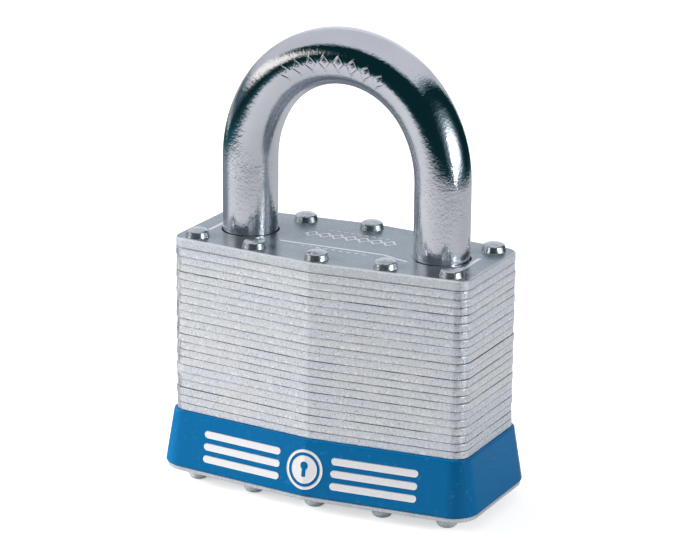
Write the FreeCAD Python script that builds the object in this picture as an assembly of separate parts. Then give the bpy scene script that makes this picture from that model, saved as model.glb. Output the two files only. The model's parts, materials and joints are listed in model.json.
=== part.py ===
import FreeCAD, Part
import math
import os

# A laminated steel padlock, closed, with its key turned to the open stop.
# Millimetres. The origin is under the middle of the body, at the flat ends of the
# lower rivet heads. +Z points up along the shackle legs, X runs along the wide front
# and the front face looks towards -Y.

# ---- body stack ----
body_width = 64.0
body_end_depth = 24.5       # front to back, at either end
body_mid_depth = 30.3       # front to back, at the ridge in the middle
corner_radius = 3.0
ridge_radius = 1.0
rivet_foot = 2.8            # height of the lower rivet heads
bottom_plate_thick = 0.9
lamination_thick = 1.6
lamination_count = 28
top_plate_thick = 2.1
edge_ease = 0.14            # chamfer that shearing leaves on each lamination
plate_wander = 0.08         # how far a lamination sits out of line with its neighbours
fit_gap = 0.1               # between pieces that are stacked or pressed together
seat_gap = 0.02             # between the flat faces of pieces that rest on each other

# ---- bumper ----
bumper_layers = 7           # laminations that the bumper hides
bumper_inset = 1.0          # how much smaller those laminations are, all round
bumper_top_flare = 0.6      # beyond the body's outline
bumper_bottom_flare = 2.4
bumper_round = 0.35
bottom_plate_lip = 0.4      # the bottom plate stops this far inside the bumper's edge

# ---- rivets ----
rivet_radius = 1.6
rivet_hole_gap = 0.05
rivet_end_inset = 4.4       # from the body's end to the outermost rivets
rivet_end_y = 9.5
rivet_pivot_y = 10.7
rivet_mid_y = 11.8
head_radius = 2.45
head_crown_radius = 2.1     # the head's side leans in to this
head_side = 1.2
head_rise = 0.6
head_round = 0.45
foot_radius = 2.1
foot_round = 1.1             # leaves a flat end, which the padlock stands on

# ---- shackle ----
leg_radius = 5.5
leg_wall = 5.55             # steel between a leg's outside and the body's end
leg_clearance = 0.3
toe_depth = 14.6            # how deep the short leg reaches into the body
toe_ease = 0.8
arch_start = 14.7           # straight leg above the top plate
arch_rise = 22.7            # from the straight legs to the crown, on the centre line
arch_side_radius = 25.0
shackle_lift = 17.0
neck_radius = 3.1
collar_thick = 3.0
neck_play = 0.3
slot_offset = 6.0           # between the two ends of the retaining plate's keyhole slot

# ---- cylinder ----
plug_radius = 6.35
plug_gap = 0.05
plug_recess = 0.4           # the plug's face lies inside the bottom plate
flange_extra = 0.85
flange_thick = 1.15
housing_wall = 1.65
housing_need = 22.0         # shortest housing that holds the pins
chamber_wall = 2.1
window_gap = 0.3            # round the plug in the bottom plate
pin_count = 5
pin_radius = 1.45
pin_gap = 0.05
first_pin = 3.6
pin_pitch = 3.8
key_pin_lengths = [4.3, 5.1, 3.9, 5.5, 4.7]
pin_travel = 1.2
driver_length = 4.6
driver_travel = 1.5
shear_gap = 0.1
pin_spring_room = 5.1
cap_thick = 0.85
cap_half_width = 2.2
cap_margin = 1.2            # housing left above and below the chamber cap
keyway_width = 1.9
keyway_high = 4.6
keyway_low = 3.2
ward_depth = 0.75           # grooves in the keyway's walls
ward_width = 1.3
ward_high = 0.8
ward_low = -1.7
tail_step = 1.55            # the plug's tail is this much smaller, all round
tail_length = 1.4
clip_thick = 0.7
clip_cover = 0.2            # how far the clip reaches over the housing's bore
groove_depth = 0.75
tang_width = 1.8

# ---- levers and cam ----
stem_radius = 3.0
stem_gap = 0.3
pivot_from_leg = 6.75       # from the leg's axis to the lever's pivot, along X
layers_under_levers = 3     # laminations between the short leg's floor and the levers
lever_need = 3.0            # least height of the space for the levers
lever_play = 0.1
lever_swing = 13.2          # degrees, for a quarter turn of the key
hub_radius = 2.3
nose_radius = 1.3
nose_gap = 0.25             # between the drawn lever and the leg's hole
nose_drop = 0.36
tail_tip_radius = 1.2
tail_x = 1.8
tail_y = 6.3
cam_gap = 0.15
pocket_gap = 0.25
notch_play = 0.3
lever_spring_room = 3.0

# ---- springs ----
shackle_coil = 4.2
shackle_wire = 0.3
shackle_turns = 5
pin_coil = 0.95
pin_wire = 0.15
pin_turns = 8
lever_coil = 0.85
lever_wire = 0.15
lever_turns = 6
coil_steps = 16             # points of the wire's centre line in one turn

UP = FreeCAD.Vector(0, 0, 1)
ORIGIN = FreeCAD.Vector(0, 0, 0)

# ---- sizes that follow from the ones above ----
stack_low = rivet_foot + bottom_plate_thick
stack_high = stack_low + lamination_count*lamination_thick
body_top = stack_high + top_plate_thick
leg_x = body_width/2 - leg_wall - leg_radius
pivot_x = leg_x - pivot_from_leg
rivet_end_x = body_width/2 - rivet_end_inset
hole_radius = leg_radius + leg_clearance


def layers_for(height):
    """How many laminations it takes to cover a height."""
    return math.ceil(height/lamination_thick - 1e-6)


def layer_top(number):
    """Height of the top of a lamination; the lowest is number 1."""
    return stack_low + number*lamination_thick


housing_layers = layers_for(housing_need)
clip_layers = layers_for(tail_length)
retaining_layer = housing_layers + clip_layers + 1
floor_layer = lamination_count - layers_for(toe_depth - top_plate_thick - neck_play)
lever_layers = layers_for(lever_need)

housing_high = layer_top(housing_layers)
clip_high = layer_top(housing_layers + clip_layers)
retainer_low = layer_top(retaining_layer - 1)
retainer_high = layer_top(retaining_layer)
floor_high = layer_top(floor_layer)
lever_room_low = layer_top(floor_layer + layers_under_levers)
lever_room_high = lever_room_low + lever_layers*lamination_thick

toe_low = floor_high + neck_play
neck_high = retainer_high + neck_play
collar_high = retainer_low - neck_play - shackle_lift + neck_play
collar_low = collar_high - collar_thick
notch_low = lever_room_low - notch_play
notch_high = lever_room_high + notch_play

bore_radius = plug_radius + plug_gap
tail_radius = plug_radius - tail_step
clip_radius = bore_radius + clip_cover
housing_radius = plug_radius + housing_wall
flange_radius = plug_radius + flange_extra
shear_line = plug_radius + shear_gap
chamber_radius = pin_radius + pin_gap
chamber_half = chamber_radius + chamber_wall
chamber_end = shear_line + driver_length + pin_spring_room
chamber_reach = chamber_end + cap_thick
key_pin_face = math.sqrt(plug_radius**2 - pin_radius**2) - 0.03


# ---- shapes used by many pieces ----
def at(x, y, z):
    return FreeCAD.Vector(x, y, z)


def cylinder(x, y, radius, low, high):
    return Part.makeCylinder(radius, high - low, at(x, y, low))


def block(x_low, x_high, y_low, y_high, low, high):
    return Part.makeBox(x_high - x_low, y_high - y_low, high - low, at(x_low, y_low, low))


def join(shapes):
    return shapes[0].fuse(shapes[1:]).removeSplitter()


def rounded_face(points, radii):
    """Flat face at z = 0 with the given corners, each rounded by its own radius."""
    arcs = []
    for index, point in enumerate(points):
        here = at(point[0], point[1], 0)
        before = at(points[index - 1][0], points[index - 1][1], 0) - here
        after_point = points[(index + 1) % len(points)]
        after = at(after_point[0], after_point[1], 0) - here
        before.normalize()
        after.normalize()
        half_turn = (math.pi - before.getAngle(after))/2
        reach = radii[index]*math.tan(half_turn)
        inward = before + after
        inward.normalize()
        middle = here + inward*(radii[index]/math.cos(half_turn) - radii[index])
        arcs.append(Part.Arc(here + before*reach, middle, here + after*reach))
    edges = []
    for index, arc in enumerate(arcs):
        edges.append(arc.toShape())
        start = arc.EndPoint
        end = arcs[(index + 1) % len(arcs)].StartPoint
        edges.append(Part.LineSegment(start, end).toShape())
    return Part.Face(Part.Wire(edges))


def body_face(grow):
    """The body's plan outline moved outwards: flat ends, front and back peaked at x = 0."""
    half = body_width/2 + grow
    slope = (body_mid_depth - body_end_depth)/body_width
    mid = body_mid_depth/2 + grow*math.sqrt(1 + slope**2)
    end = mid - slope*half
    points = [(half, -end), (half, end), (0, mid), (-half, end), (-half, -end), (0, -mid)]
    round_corner = max(corner_radius + grow, 0.3)
    return rounded_face(points, [round_corner, round_corner, ridge_radius]*2)


def prism(face, low, high):
    solid = face.extrude(UP*(high - low))
    solid.translate(UP*low)
    return solid


def eased_prism(face, low, high, ease):
    """A prism with every edge of its two flat faces chamfered."""
    solid = prism(face, low, high)
    rims = [edge for edge in solid.Edges if edge.BoundBox.ZLength < 1e-6]
    return solid.makeChamfer(ease, rims)


def bar(start, end, radius, low, high):
    """A straight bar with round ends, seen from above, between two (x, y) points."""
    run = at(end[0] - start[0], end[1] - start[1], 0)
    box = Part.makeBox(run.Length, 2*radius, high - low, at(0, -radius, 0))
    turn = math.degrees(math.atan2(run.y, run.x))
    box.rotate(ORIGIN, UP, turn)
    box.translate(at(start[0], start[1], low))
    ends = [cylinder(start[0], start[1], radius, low, high)]
    ends.append(cylinder(end[0], end[1], radius, low, high))
    return join([box] + ends)


def half_turned(shape):
    """The same piece on the other side of the body, turned about the plug's axis."""
    other = shape.copy()
    other.rotate(ORIGIN, UP, 180)
    return other


def turned_profile(points):
    """A solid of revolution about Z from (radius, z) points, straight between them."""
    wire = Part.makePolygon([at(radius, 0, z) for radius, z in points + points[:1]])
    return Part.Face(wire).revolve(ORIGIN, UP, 360)


def coil(radius, wire, turns, length):
    """A compression spring along Z whose wire fills the length exactly."""
    pitch = (length - 2*wire)/turns
    points = []
    for step in range(int(turns*coil_steps) + 1):
        angle = 2*math.pi*step/coil_steps
        height = wire + pitch*step/coil_steps
        points.append(at(radius*math.cos(angle), radius*math.sin(angle), height))
    helix = Part.BSplineCurve()
    helix.interpolate(points)
    start = helix.tangent(helix.FirstParameter)[0]
    circle = Part.makeCircle(wire, points[0], start)
    return Part.Wire([helix.toShape()]).makePipeShell([Part.Wire([circle])], True, True)


# ---- where things are ----
def rivet_places():
    places = [(0, rivet_mid_y), (0, -rivet_mid_y)]
    for side in (-1, 1):
        for face in (-1, 1):
            places.append((side*rivet_end_x, face*rivet_end_y))
            places.append((side*pivot_x, face*rivet_pivot_y))
    return places


def pin_heights():
    return [stack_low + first_pin + index*pin_pitch for index in range(pin_count)]


def swung(point, angle):
    """A point of the left lever, turned about its pivot from the drawn position."""
    dx = point[0] + pivot_x
    dy = point[1] + rivet_pivot_y
    turn = math.radians(angle)
    x = dx*math.cos(turn) - dy*math.sin(turn) - pivot_x
    y = dx*math.sin(turn) + dy*math.cos(turn) - rivet_pivot_y
    return (x, y)


lever_pivot = (-pivot_x, -rivet_pivot_y)
lever_nose = (-(leg_x - hole_radius) + nose_gap + nose_radius, -nose_drop)
lever_tail = (-tail_x, -tail_y)
notch_floor = -swung(lever_nose, lever_swing)[0] + nose_radius + notch_play
lever_spring_x = -pivot_x/2


def lever_shape(angle, grow, low, high):
    """The left lever from above at one angle of its swing, grown all round."""
    nose = swung(lever_nose, angle)
    tail = swung(lever_tail, angle)
    hub = cylinder(lever_pivot[0], lever_pivot[1], hub_radius + grow, low, high)
    nose_arm = bar(lever_pivot, nose, nose_radius + grow, low, high)
    tail_arm = bar(lever_pivot, tail, tail_tip_radius + grow, low, high)
    return join([hub, nose_arm, tail_arm])


def lever_spring_y():
    """The lowest edge of the lever over its spring, in the drawn position."""
    run_x = lever_tail[0] - lever_pivot[0]
    run_y = lever_tail[1] - lever_pivot[1]
    near_x = lever_spring_x - lever_coil - lever_wire
    along = (near_x - lever_pivot[0])/run_x
    edge = tail_tip_radius*math.hypot(run_x, run_y)/run_x
    return lever_pivot[1] + along*run_y - edge


def cam_path(turn):
    """Where the lever's tail tip is, seen from the cam, as the key turns back to locked."""
    tip = swung(lever_tail, lever_swing*turn/90)
    angle = math.radians(turn)
    x = tip[0]*math.cos(angle) - tip[1]*math.sin(angle)
    y = tip[0]*math.sin(angle) + tip[1]*math.cos(angle)
    return at(x, y, 0)


def cam_flank():
    """Points on the cam where it carries the tail tip: the tip's path moved inwards."""
    points = []
    step = 7.5
    for index in range(13):
        turn = index*step
        travel = cam_path(turn + 0.5) - cam_path(turn - 0.5)
        travel.normalize()
        outward = at(travel.y, -travel.x, 0)
        points.append(cam_path(turn) - outward*(tail_tip_radius + cam_gap))
    return points


# ---- cavities that run through the stack ----
def rivet_hole(place, low, high):
    return cylinder(place[0], place[1], rivet_radius + rivet_hole_gap, low, high)


def housing_face(grow):
    half = chamber_half + grow
    points = [(-chamber_reach - grow, -half), (0, -half), (0, half)]
    points.append((-chamber_reach - grow, half))
    return rounded_face(points, [0.8, 0.3, 0.3, 0.8])


def housing_outline(grow, low, high):
    barrel = cylinder(0, 0, housing_radius + grow, low, high)
    return join([barrel, prism(housing_face(grow), low, high)])


def retaining_slot():
    """Keyhole slot: wide end passes the collar, narrow end holds the neck."""
    low = retainer_low
    high = retainer_high
    inner = leg_x - slot_offset
    wide = cylinder(inner, 0, hole_radius, low, high)
    narrow = bar((inner, 0), (leg_x, 0), neck_radius + neck_play, low, high)
    return join([wide, narrow])


def lever_room():
    """Space for the cam, both levers over their whole swing, and the lever springs."""
    low = lever_room_low
    high = lever_room_high
    steps = 4
    reach = max(point.Length for point in cam_flank()) + 2*pocket_gap
    shapes = []
    for index in range(steps + 1):
        shapes.append(lever_shape(lever_swing*index/steps, pocket_gap, low, high))
    half = lever_coil + lever_wire + pocket_gap
    spring_low = lever_spring_y() - lever_spring_room
    spring_x = lever_spring_x
    shapes.append(block(spring_x - half, spring_x + half, spring_low, -tail_y, low, high))
    one_side = join(shapes)
    return join([cylinder(0, 0, reach, low, high), one_side, half_turned(one_side)])


def cavities():
    """Every hollow in the stack, as (low, high, solid)."""
    hollows = []
    for place in rivet_places():
        hollows.append((stack_low, body_top, rivet_hole(place, stack_low, body_top)))
    toe = cylinder(-leg_x, 0, hole_radius, floor_high, body_top)
    hollows.append((floor_high, body_top, toe))
    heel = cylinder(leg_x, 0, hole_radius, retainer_high, body_top)
    hollows.append((retainer_high, body_top, heel))
    well = cylinder(leg_x, 0, hole_radius, stack_low, retainer_low)
    hollows.append((stack_low, retainer_low, well))
    hollows.append((retainer_low, retainer_high, retaining_slot()))
    housing = housing_outline(fit_gap, stack_low, housing_high)
    hollows.append((stack_low, housing_high, housing))
    clip_room = cylinder(0, 0, clip_radius + leg_clearance, housing_high, clip_high)
    hollows.append((housing_high, clip_high, clip_room))
    stem = cylinder(0, 0, stem_radius + stem_gap, clip_high, lever_room_low)
    hollows.append((clip_high, lever_room_low, stem))
    hollows.append((lever_room_low, lever_room_high, lever_room()))
    return hollows


# ---- the stack ----
def plate(face, low, high, hollows, ease):
    blank = eased_prism(face, low, high, ease)
    middle = (low + high)/2
    tools = [solid for bottom, top, solid in hollows if bottom < middle < top]
    return blank.cut(tools)


def lamination(number, hollows):
    low = layer_top(number - 1)
    high = layer_top(number)
    if number <= bumper_layers:
        face = body_face(-bumper_inset)
    else:
        face = body_face(0)
        wander_x = plate_wander*math.sin(2.4*number)
        wander_y = plate_wander*math.sin(1.7*number + 1)
        face.translate(at(wander_x, wander_y, 0))
    return plate(face, low, high, hollows, edge_ease)


def top_plate(hollows):
    return plate(body_face(0), stack_high, body_top, hollows, 2*edge_ease)


def bottom_plate():
    face = body_face(bumper_bottom_flare - bottom_plate_lip)
    blank = eased_prism(face, rivet_foot, stack_low, edge_ease)
    tools = [cylinder(0, 0, plug_radius + window_gap, rivet_foot, stack_low)]
    for place in rivet_places():
        tools.append(rivet_hole(place, rivet_foot, stack_low))
    return blank.cut(tools)


def bumper():
    """Tapered sleeve round the lower laminations, wider at the bottom."""
    low = stack_low
    high = layer_top(bumper_layers)
    lower = body_face(bumper_bottom_flare).OuterWire
    upper = body_face(bumper_top_flare).OuterWire
    lower.translate(UP*low)
    upper.translate(UP*high)
    outside = Part.makeLoft([lower, upper], True, True)
    rims = [edge for edge in outside.Edges if edge.BoundBox.ZLength < 1e-6]
    outside = outside.makeFillet(bumper_round, rims)
    return outside.cut(prism(body_face(fit_gap - bumper_inset), low, high))


def round_rim(solid, height, radius):
    """Round the level edges that a turned piece has at one height."""
    rims = [edge for edge in solid.Edges if abs(edge.BoundBox.ZMin - height) < 1e-6
            and edge.BoundBox.ZLength < 1e-6]
    return solid.makeFillet(radius, rims)


def rivet(place):
    """Upper head with a leaning side and a shallow dome, and a foot with a flat end."""
    side_top = body_top + head_side
    crown = side_top + head_rise
    dome_radius = (head_crown_radius**2 + head_rise**2)/(2*head_rise)
    lean = math.asin(head_crown_radius/dome_radius)/2
    shoulder_x = dome_radius*math.sin(lean)
    shoulder = at(shoulder_x, 0, crown - dome_radius*(1 - math.cos(lean)))
    dome = Part.Arc(at(head_crown_radius, 0, side_top), shoulder, at(0, 0, crown)).toShape()
    points = [(0, crown), (0, 0), (foot_radius, 0), (foot_radius, rivet_foot)]
    points += [(rivet_radius, rivet_foot), (rivet_radius, body_top)]
    points += [(head_radius, body_top), (head_crown_radius, side_top)]
    outline = Part.makePolygon([at(radius, 0, z) for radius, z in points])
    wire = Part.Wire(outline.Edges + [dome])
    solid = Part.Face(wire).revolve(ORIGIN, UP, 360)
    solid = round_rim(solid, side_top, head_round)
    solid = round_rim(solid, 0, foot_round)
    solid.translate(at(place[0], place[1], 0))
    return solid


def rivets():
    return Part.makeCompound([rivet(place) for place in rivet_places()])


# ---- shackle ----
def shackle_path():
    """Centre line: straight legs joined by three tangent arcs that rise a little more
    than a half circle."""
    start = body_top + arch_start
    shift = arch_side_radius - leg_x
    gap = arch_side_radius - arch_rise
    drop = (shift**2 - gap**2)/(2*gap)
    crown_radius = arch_rise - drop
    lean = math.atan2(drop, shift)
    centre = at(-shift, 0, start)
    meet = centre + at(math.cos(lean), 0, math.sin(lean))*arch_side_radius
    middle = centre + at(math.cos(lean/2), 0, math.sin(lean/2))*arch_side_radius
    other_meet = at(-meet.x, 0, meet.z)
    other_middle = at(-middle.x, 0, middle.z)
    crown = at(0, 0, start + drop + crown_radius)
    edges = [Part.LineSegment(at(leg_x, 0, neck_high), at(leg_x, 0, start)).toShape()]
    edges.append(Part.Arc(at(leg_x, 0, start), middle, meet).toShape())
    edges.append(Part.Arc(meet, crown, other_meet).toShape())
    edges.append(Part.Arc(other_meet, other_middle, at(-leg_x, 0, start)).toShape())
    edges.append(Part.LineSegment(at(-leg_x, 0, start), at(-leg_x, 0, toe_low)).toShape())
    return Part.Wire(edges)


def shackle():
    section = Part.Wire([Part.makeCircle(leg_radius, at(leg_x, 0, neck_high), UP)])
    hoop = shackle_path().makePipeShell([section], True, False)
    toe_rim = [edge for edge in hoop.Edges if edge.BoundBox.ZMax < toe_low + 1e-6]
    hoop = hoop.makeChamfer(toe_ease, toe_rim)
    neck = cylinder(leg_x, 0, neck_radius, collar_low, neck_high)
    collar = cylinder(leg_x, 0, leg_radius, collar_low, collar_high)
    whole = join([hoop, neck, collar])
    reach = leg_radius + 1
    right_notch = block(leg_x - reach, notch_floor, -reach, reach, notch_low, notch_high)
    return whole.cut([right_notch, half_turned(right_notch)])


def shackle_spring():
    spring = coil(shackle_coil, shackle_wire, shackle_turns, collar_low - stack_low)
    spring.translate(at(leg_x, 0, stack_low))
    return spring


# ---- cylinder ----
def radial_bore(z, radius, start, end):
    """A bore along -X from one distance from the plug's axis to another."""
    return Part.makeCylinder(radius, end - start, at(-start, 0, z), at(-1, 0, 0))


def cap_room(grow):
    half = cap_half_width + grow
    low = stack_low + cap_margin - grow
    high = housing_high - cap_margin + grow
    return block(-chamber_reach, -chamber_end, -half, half, low, high)


def cylinder_housing():
    solid = housing_outline(0, stack_low + seat_gap, housing_high - seat_gap)
    flange_room = stack_low + flange_thick + fit_gap
    tools = [cylinder(0, 0, bore_radius, stack_low, housing_high)]
    tools.append(cylinder(0, 0, flange_radius + fit_gap, stack_low, flange_room))
    tools.append(cap_room(plug_gap))
    for z in pin_heights():
        tools.append(radial_bore(z, chamber_radius, plug_radius - 1, chamber_end))
    return solid.cut(tools)


def pin_chamber_cap():
    return cap_room(0)


def in_plug(shape):
    """The plug is drawn locked, with its pins towards -X, and rests a quarter turn on."""
    shape.rotate(ORIGIN, UP, 90)
    return shape


def key_plug():
    low = rivet_foot + plug_recess
    body = cylinder(0, 0, plug_radius, low, housing_high)
    flange = cylinder(0, 0, flange_radius, stack_low + plug_gap, stack_low + flange_thick)
    tail = cylinder(0, 0, tail_radius, housing_high, housing_high + tail_length - fit_gap)
    whole = join([body, flange, tail])
    half = keyway_width/2
    keyway_end = stack_low + first_pin + pin_count*pin_pitch
    tools = [block(-keyway_low, keyway_high, -half, half, low, keyway_end)]
    deep = half + ward_depth
    tools.append(block(ward_high, ward_high + ward_width, half, deep, low, keyway_end))
    tools.append(block(ward_low, ward_low + ward_width, -deep, -half, low, keyway_end))
    for z in pin_heights():
        tools.append(radial_bore(z, chamber_radius, -1, plug_radius + 1))
    slot = tang_width/2 + fit_gap
    tail_high = housing_high + tail_length
    tools.append(block(-tail_radius, tail_radius, -slot, slot, housing_high, tail_high))
    groove_low = housing_high + fit_gap
    ring = cylinder(0, 0, tail_radius + 1, groove_low, groove_low + clip_thick + fit_gap)
    core_radius = tail_radius - groove_depth
    core = cylinder(0, 0, core_radius, groove_low, groove_low + clip_thick + fit_gap)
    tools.append(ring.cut(core))
    return in_plug(whole.cut(tools))


def plug_clip():
    """Open spring ring that keeps the plug from being drawn out."""
    low = housing_high + fit_gap + fit_gap/2
    high = low + clip_thick
    outer = cylinder(0, 0, clip_radius, low, high)
    inner = cylinder(0, 0, tail_radius - groove_depth + plug_gap, low, high)
    mouth = block(0, clip_radius, -tail_radius/2, tail_radius/2, low, high)
    return in_plug(outer.cut([inner, mouth]))


def plug_cam():
    """Tang, stem and a two-sided cam that carries the tails of both levers."""
    half = tang_width/2
    reach = tail_radius - groove_depth - fit_gap
    tang_low = housing_high + fit_gap
    stem_low = housing_high + tail_length
    tang = block(-reach, reach, -half, half, tang_low, stem_low + fit_gap)
    tang = in_plug(tang)
    disc_low = lever_room_low + lever_play
    disc_high = lever_room_high - lever_play
    stem = cylinder(0, 0, stem_radius, stem_low, disc_high)
    flank = cam_flank()
    first = Part.BSplineCurve()
    first.interpolate(flank)
    second = Part.BSplineCurve()
    second.interpolate([at(-point.x, -point.y, 0) for point in flank])
    edges = [first.toShape()]
    edges.append(Part.LineSegment(first.EndPoint, second.StartPoint).toShape())
    edges.append(second.toShape())
    edges.append(Part.LineSegment(second.EndPoint, first.StartPoint).toShape())
    disc = prism(Part.Face(Part.Wire(edges)), disc_low, disc_high)
    return join([tang, stem, disc])


def key_pin(index):
    """Flat outer end at the shear line, conical inner end that rides the key."""
    length = key_pin_lengths[index]
    tip = pin_radius*0.35
    cone = pin_radius - tip
    points = [(0, 0), (tip, 0), (pin_radius, cone), (pin_radius, length), (0, length)]
    solid = turned_profile(points)
    solid.rotate(ORIGIN, at(0, 1, 0), -90)
    solid.translate(at(-(key_pin_face - length), 0, pin_heights()[index]))
    return in_plug(solid)


def driver_pin(index):
    """Chamfered inner end at the shear line, spring seat at the outer end."""
    ease = 0.3
    points = [(0, 0), (pin_radius - ease, 0), (pin_radius, ease)]
    points += [(pin_radius, driver_length), (0, driver_length)]
    solid = turned_profile(points)
    solid.rotate(ORIGIN, at(0, 1, 0), -90)
    solid.translate(at(-shear_line, 0, pin_heights()[index]))
    return solid


def pin_spring(index):
    spring = coil(pin_coil, pin_wire, pin_turns, pin_spring_room)
    spring.rotate(ORIGIN, at(0, 1, 0), -90)
    spring.translate(at(-shear_line - driver_length, 0, pin_heights()[index]))
    return spring


# ---- levers ----
def locking_lever():
    low = lever_room_low + lever_play
    high = lever_room_high - lever_play
    pivot = cylinder(lever_pivot[0], lever_pivot[1], rivet_radius + plug_gap, low, high)
    return lever_shape(0, 0, low, high).cut(pivot)


def lever_spring():
    spring = coil(lever_coil, lever_wire, lever_turns, lever_spring_room)
    spring.rotate(ORIGIN, at(1, 0, 0), 90)
    spring.translate(at(lever_spring_x, lever_spring_y(), (lever_room_low + lever_room_high)/2))
    return spring


def save(name, shape):
    """Write one sub-part and say what it is."""
    solids = len(shape.Solids)
    print(name, "valid" if shape.isValid() else "NOT VALID", solids, round(shape.Volume, 2))
    shape.exportStep("parts/" + name + ".step")


def main():
    os.makedirs("parts", exist_ok=True)
    hollows = cavities()
    for number in range(1, lamination_count + 1):
        save("lamination_%02d" % number, lamination(number, hollows))
    save("top_plate", top_plate(hollows))
    save("bottom_plate", bottom_plate())
    save("bumper", bumper())
    save("rivets", rivets())
    save("shackle", shackle())
    save("shackle_spring", shackle_spring())
    save("cylinder_housing", cylinder_housing())
    save("pin_chamber_cap", pin_chamber_cap())
    save("key_plug", key_plug())
    save("plug_clip", plug_clip())
    save("plug_cam", plug_cam())
    save("locking_lever_left", locking_lever())
    save("locking_lever_right", half_turned(locking_lever()))
    save("lever_spring_left", lever_spring())
    save("lever_spring_right", half_turned(lever_spring()))
    for index in range(pin_count):
        save("key_pin_%d" % (index + 1), key_pin(index))
        save("driver_pin_%d" % (index + 1), driver_pin(index))
        save("pin_spring_%d" % (index + 1), pin_spring(index))


main()
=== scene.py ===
import json
import math

import bpy
import numpy as np
from mathutils import Matrix, Vector


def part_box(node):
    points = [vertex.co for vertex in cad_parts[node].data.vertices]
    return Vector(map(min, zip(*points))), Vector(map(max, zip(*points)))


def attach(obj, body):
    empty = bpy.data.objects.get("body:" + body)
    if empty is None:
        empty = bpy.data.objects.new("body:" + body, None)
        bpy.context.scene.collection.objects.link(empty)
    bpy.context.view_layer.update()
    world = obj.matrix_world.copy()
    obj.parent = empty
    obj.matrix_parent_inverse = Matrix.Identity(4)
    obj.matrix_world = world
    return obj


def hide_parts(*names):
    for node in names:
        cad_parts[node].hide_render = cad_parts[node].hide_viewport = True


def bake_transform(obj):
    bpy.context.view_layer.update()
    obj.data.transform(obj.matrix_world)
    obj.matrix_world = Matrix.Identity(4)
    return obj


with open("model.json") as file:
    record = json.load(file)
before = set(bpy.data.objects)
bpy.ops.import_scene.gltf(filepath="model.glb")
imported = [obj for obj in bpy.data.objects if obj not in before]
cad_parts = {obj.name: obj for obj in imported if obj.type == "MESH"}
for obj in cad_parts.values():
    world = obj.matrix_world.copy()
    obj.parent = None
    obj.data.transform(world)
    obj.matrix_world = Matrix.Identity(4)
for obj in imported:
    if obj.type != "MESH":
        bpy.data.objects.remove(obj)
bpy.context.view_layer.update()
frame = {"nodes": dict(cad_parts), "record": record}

# The looks of a laminated padlock: plated steel plates, a chromed shackle and a blue
# plastic bumper. Everything is in metres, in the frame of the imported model.

MM = 0.001

# ---- sizes read from the frame ----
TOP_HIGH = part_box("top_plate")[1]
BUMPER_LOW, BUMPER_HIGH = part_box("bumper")
SHACKLE_LOW, SHACKLE_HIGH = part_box("shackle")
FIRST_LAYER_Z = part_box("lamination_01")[0].z
LAYER_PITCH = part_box("lamination_11")[0].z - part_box("lamination_10")[0].z
LEG_RADIUS = (SHACKLE_HIGH.y - SHACKLE_LOW.y)/2
BODY_HALF_DEPTH = TOP_HIGH.y
BODY_HALF_WIDTH = TOP_HIGH.x

# ---- sizes the frame doesn't hold ----
RIDGE_SLOPE = 0.0906                 # how fast the front falls back from the ridge
CORNER_RADIUS = 3.0*MM               # of the body's outline, at its ends
RIDGE_RADIUS = 1.0*MM                # of the body's outline, at the ridge
CROWN_RADIUS = 20.285*MM             # of the arch's top arc, on the bar's centre line
CROWN_Z = SHACKLE_HIGH.z - LEG_RADIUS - CROWN_RADIUS
FLARE_LOW = 2.4*MM                   # the bumper beyond the body, at its foot
FLARE_HIGH = 0.6*MM                  # the same, at its top
BUMPER_INSIDE = -0.9*MM              # the sleeve's bore, from the body's outline
BUMPER_ROUND = 0.35*MM               # of the sleeve's outer edges
BORE_ROUND = 0.1*MM                  # of the sleeve's inner edges
STAMP_SINK = 0.05*MM                 # a stamped skin under the steel, between its marks
STAMP_HIGH = 0.08*MM                 # a stamped mark above the steel
STAMP_DEEP = 0.4*MM                  # a stamped skin's underside, below the steel
STAMP_STEP = 0.1*MM                  # the grid of a flat stamped skin
PRINT_HIGH = 0.06*MM                 # the print above the plastic
PRINT_SINK = 0.1*MM                  # the print's underside, below the plastic
EMBLEM_LEVEL = 5.3*MM                # the print's middle, above the bumper's foot
DISC_RADIUS = 2.75*MM
RING_RADIUS = 3.65*MM
RING_HALF_WIDTH = 0.28*MM
BAR_MIDDLE = 14.55*MM                # a printed bar's, from the emblem's
BAR_HALF_LENGTH = 8.95*MM
BAR_HALF_HEIGHT = 0.72*MM
BAR_PITCH = 2.45*MM
WIRE_SIDES = 12                      # round a spring's wire
COIL_STEPS = 36                      # along one turn of a spring
X_AXIS, Y_AXIS, Z_AXIS = range(3)


# ======== helpers for meshes ========
def mesh_object(name, points, faces, material, smooth=True):
    """A mesh object at the origin from arrays of points and of quads."""
    mesh = bpy.data.meshes.new(name)
    mesh.from_pydata(points.tolist(), [], faces.tolist())
    mesh.update()
    mesh.polygons.foreach_set("use_smooth", [smooth]*len(mesh.polygons))
    mesh.materials.append(material)
    piece = bpy.data.objects.new(name, mesh)
    bpy.context.scene.collection.objects.link(piece)
    return piece


def grid_quads(rows, columns, wrap_rows=False, wrap_columns=False, start=0):
    """Quads between neighbouring points of a grid stored row by row, closed round
    either way if asked."""
    last_row = rows if wrap_rows else rows - 1
    last_column = columns if wrap_columns else columns - 1
    row, column = np.meshgrid(np.arange(last_row), np.arange(last_column), indexing="ij")
    next_row = (row + 1) % rows
    next_column = (column + 1) % columns
    corners = [row*columns + column, next_row*columns + column]
    corners += [next_row*columns + next_column, row*columns + next_column]
    return np.stack(corners, -1).reshape(-1, 4) + start


def turned_out(points, faces):
    """Quads of a closed surface, turned round if they face inwards: the volume enclosed,
    a sixth of the sum of a.(b x c) over the triangles, has to come out positive."""
    a, b, c, d = (points[faces[:, corner]] for corner in range(4))
    volume = (a*np.cross(b, c)).sum() + (a*np.cross(c, d)).sum()
    return faces if volume > 0 else faces[:, ::-1]


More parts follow.
